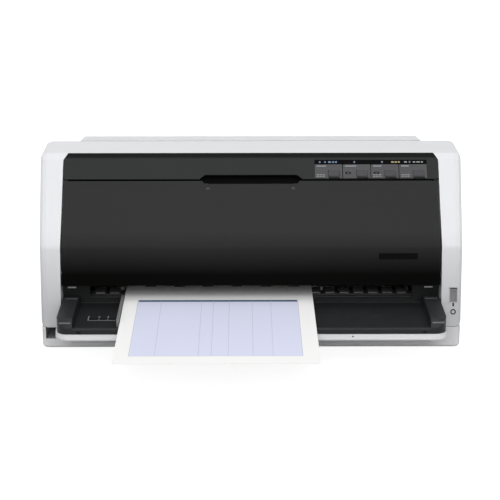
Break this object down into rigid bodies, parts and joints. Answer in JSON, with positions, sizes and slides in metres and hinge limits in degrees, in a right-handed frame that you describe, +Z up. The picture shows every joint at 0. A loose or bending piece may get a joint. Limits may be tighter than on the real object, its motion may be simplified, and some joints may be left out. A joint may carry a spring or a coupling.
{
  "type": "dot matrix printer",
  "caption": "Flatbed dot matrix printer with white side towers, a hinged smoked front cover, a dark front sheet guide, a key panel and a loaded sheet.",
  "frame": {"origin": "bottom centre of the whole printer's box, sheet included, on the surface that it stands on", "axes": "+Z up, +Y to the rear, front cover and sheet guide towards -Y, +X to the right seen from the front"},
  "size_m": [0.488, 0.4687, 0.2115],
  "materials": {
    "case_lower": "satin",
    "case_white": "satin",
    "cover_smoke": "gloss",
    "steel": "satin",
    "panel_dark": "gloss",
    "panel_black": "gloss",
    "key_grey": "matte",
    "button_grey": "matte",
    "lens": "gloss",
    "rocker_grey": "matte",
    "guide_dark": "matte",
    "edge_grey": "matte",
    "rubber": "matte",
    "port_steel": "satin",
    "sheet_steel": "satin",
    "platen_dark": "matte",
    "roller_rubber": "matte",
    "gear_plastic": "matte",
    "motor_black": "satin",
    "brass": "satin",
    "shaft_steel": "polished",
    "head_aluminium": "satin",
    "ribbon_fabric": "matte",
    "board_green": "satin",
    "sheet_paper": "matte"
  },
  "bodies": {
    "case": {"lower_case": "case_lower", "upper_case": "case_white", "panel_strip": "panel_dark", "panel_bezel": "panel_black", "key_fields": "key_grey", "indicator_lights": "lens", "switch_bezel": "panel_black", "front_sheet_guide": "guide_dark", "guide_studs": "steel", "rear_guide_rod": "steel", "rubber_feet": "rubber", "case_screws": "steel", "mains_inlet": "panel_black", "parallel_port": "port_steel", "usb_port": "port_steel", "chassis_pan": "sheet_steel", "left_side_frame": "sheet_steel", "right_side_frame": "sheet_steel", "rear_cross_frame": "sheet_steel", "platen": "platen_dark", "roller_bushes": "gear_plastic", "feed_motor": "motor_black", "front_paper_guide": "guide_dark", "rear_paper_guide": "sheet_steel", "carriage_shaft": "shaft_steel", "carriage_rail": "sheet_steel", "ribbon_cartridge": "guide_dark", "ribbon": "ribbon_fabric", "carriage_motor": "motor_black", "timing_belt": "rubber", "main_board": "board_green", "power_supply": "sheet_steel"},
    "front_cover": {"front_cover": "cover_smoke", "cover_pins": "steel"},
    "pause_button": {"pause_button": "button_grey"},
    "tear_off_button": {"tear_off_button": "button_grey"},
    "font_button": {"font_button": "button_grey"},
    "feed_button": {"feed_button": "button_grey"},
    "power_rocker": {"power_rocker": "rocker_grey"},
    "edge_guide": {"edge_guide": "edge_grey"},
    "rear_sheet_guide": {"rear_sheet_guide": "case_white"},
    "front_feed_roller": {"front_feed_roller": "roller_rubber", "front_roller_gear": "gear_plastic"},
    "rear_feed_roller": {"rear_feed_roller": "rubber", "rear_roller_gear": "gear_plastic"},
    "front_pinch_rollers": {"front_pinch_rollers": "roller_rubber"},
    "rear_pinch_rollers": {"rear_pinch_rollers": "guide_dark"},
    "idler_gear": {"idler_gear": "gear_plastic"},
    "motor_pinion": {"motor_pinion": "brass"},
    "carriage": {"carriage": "guide_dark", "print_head": "head_aluminium", "ribbon_mask": "sheet_steel"},
    "carriage_pulley": {"carriage_pulley": "shaft_steel"},
    "tension_pulley": {"tension_pulley": "shaft_steel"},
    "ribbon_knob": {"ribbon_knob": "edge_grey"},
    "paper_sheet": {"paper_sheet": "sheet_paper"}
  },
  "joints": [
    {"name": "cover_hinge", "type": "hinge", "parent": "case", "child": "front_cover", "pos_m": [0, -0.04165, 0.082], "axis": [1, 0, 0], "range_deg": [0, 105]},
    {"name": "font_button_press", "type": "slide", "parent": "case", "child": "font_button", "axis": [0, 0.8039, -0.5948], "range_m": [0, 0.0008], "stiffness_N_per_m": 400, "springref_m": -0.0005},
    {"name": "tear_off_button_press", "type": "slide", "parent": "case", "child": "tear_off_button", "axis": [0, 0.8039, -0.5948], "range_m": [0, 0.0008], "stiffness_N_per_m": 400, "springref_m": -0.0005},
    {"name": "feed_button_press", "type": "slide", "parent": "case", "child": "feed_button", "axis": [0, 0.8039, -0.5948], "range_m": [0, 0.0008], "stiffness_N_per_m": 400, "springref_m": -0.0005},
    {"name": "pause_button_press", "type": "slide", "parent": "case", "child": "pause_button", "axis": [0, 0.8039, -0.5948], "range_m": [0, 0.0008], "stiffness_N_per_m": 400, "springref_m": -0.0005},
    {"name": "power_rocker_tilt", "type": "hinge", "parent": "case", "child": "power_rocker", "pos_m": [0.2304, -0.05433, 0.06018], "axis": [-1, 0, 0], "range_deg": [0, 14]},
    {"name": "edge_guide_slide", "type": "slide", "parent": "case", "child": "edge_guide", "axis": [1, 0, 0], "range_m": [-0.033, 0]},
    {"name": "rear_sheet_guide_hinge", "type": "hinge", "parent": "case", "child": "rear_sheet_guide", "pos_m": [0, 0.20836, 0.15117], "axis": [-1, 0, 0], "range_deg": [0, 95]},
    {"name": "front_roller_spin", "type": "hinge", "parent": "case", "child": "front_feed_roller", "pos_m": [0, -0.01144, 0.04626], "axis": [1, 0, 0], "continuous": true},
    {"name": "rear_roller_spin", "type": "hinge", "parent": "case", "child": "rear_feed_roller", "pos_m": [0, 0.05654, 0.04798], "axis": [1, 0, 0], "continuous": true},
    {"name": "front_pinch_spin", "type": "hinge", "parent": "case", "child": "front_pinch_rollers", "pos_m": [0, -0.01179, 0.06016], "axis": [1, 0, 0], "continuous": true},
    {"name": "rear_pinch_spin", "type": "hinge", "parent": "case", "child": "rear_pinch_rollers", "pos_m": [0, 0.05618, 0.06188], "axis": [1, 0, 0], "continuous": true},
    {"name": "idler_spin", "type": "hinge", "parent": "case", "child": "idler_gear", "pos_m": [-0.2, 0.02255, 0.04712], "axis": [1, 0, 0], "continuous": true},
    {"name": "motor_spin", "type": "hinge", "parent": "case", "child": "motor_pinion", "pos_m": [-0.2, 0.03523, 0.02915], "axis": [1, 0, 0], "continuous": true},
    {"name": "carriage_slide", "type": "slide", "parent": "case", "child": "carriage", "axis": [1, 0, 0], "range_m": [-0.135, 0.135]},
    {"name": "carriage_pulley_spin", "type": "hinge", "parent": "case", "child": "carriage_pulley", "pos_m": [-0.165, 0.07035, 0.092], "axis": [0, 1, 0], "range_deg": [-970, 970]},
    {"name": "tension_pulley_spin", "type": "hinge", "parent": "case", "child": "tension_pulley", "pos_m": [0.165, 0.07035, 0.092], "axis": [0, 1, 0], "range_deg": [-970, 970]},
    {"name": "ribbon_knob_turn", "type": "hinge", "parent": "case", "child": "ribbon_knob", "pos_m": [0.14, -0.01865, 0.095], "axis": [0, 0, 1], "continuous": true},
    {"name": "sheet_slide", "type": "slide", "parent": "case", "child": "paper_sheet", "axis": [0, -0.9997, -0.0253], "range_m": [-0.12, 0.055]}
  ],
  "couplings": [
    {"joint": "rear_roller_spin", "follows": "front_roller_spin", "ratio": 1},
    {"joint": "idler_spin", "follows": "front_roller_spin", "ratio": -1.125},
    {"joint": "motor_spin", "follows": "front_roller_spin", "ratio": 3},
    {"joint": "front_pinch_spin", "follows": "front_roller_spin", "ratio": -1.6},
    {"joint": "rear_pinch_spin", "follows": "front_roller_spin", "ratio": -1.6},
    {"joint": "carriage_pulley_spin", "follows": "carriage_slide", "rad_per_m": 124.22},
    {"joint": "tension_pulley_spin", "follows": "carriage_slide", "rad_per_m": 124.22}
  ]
}
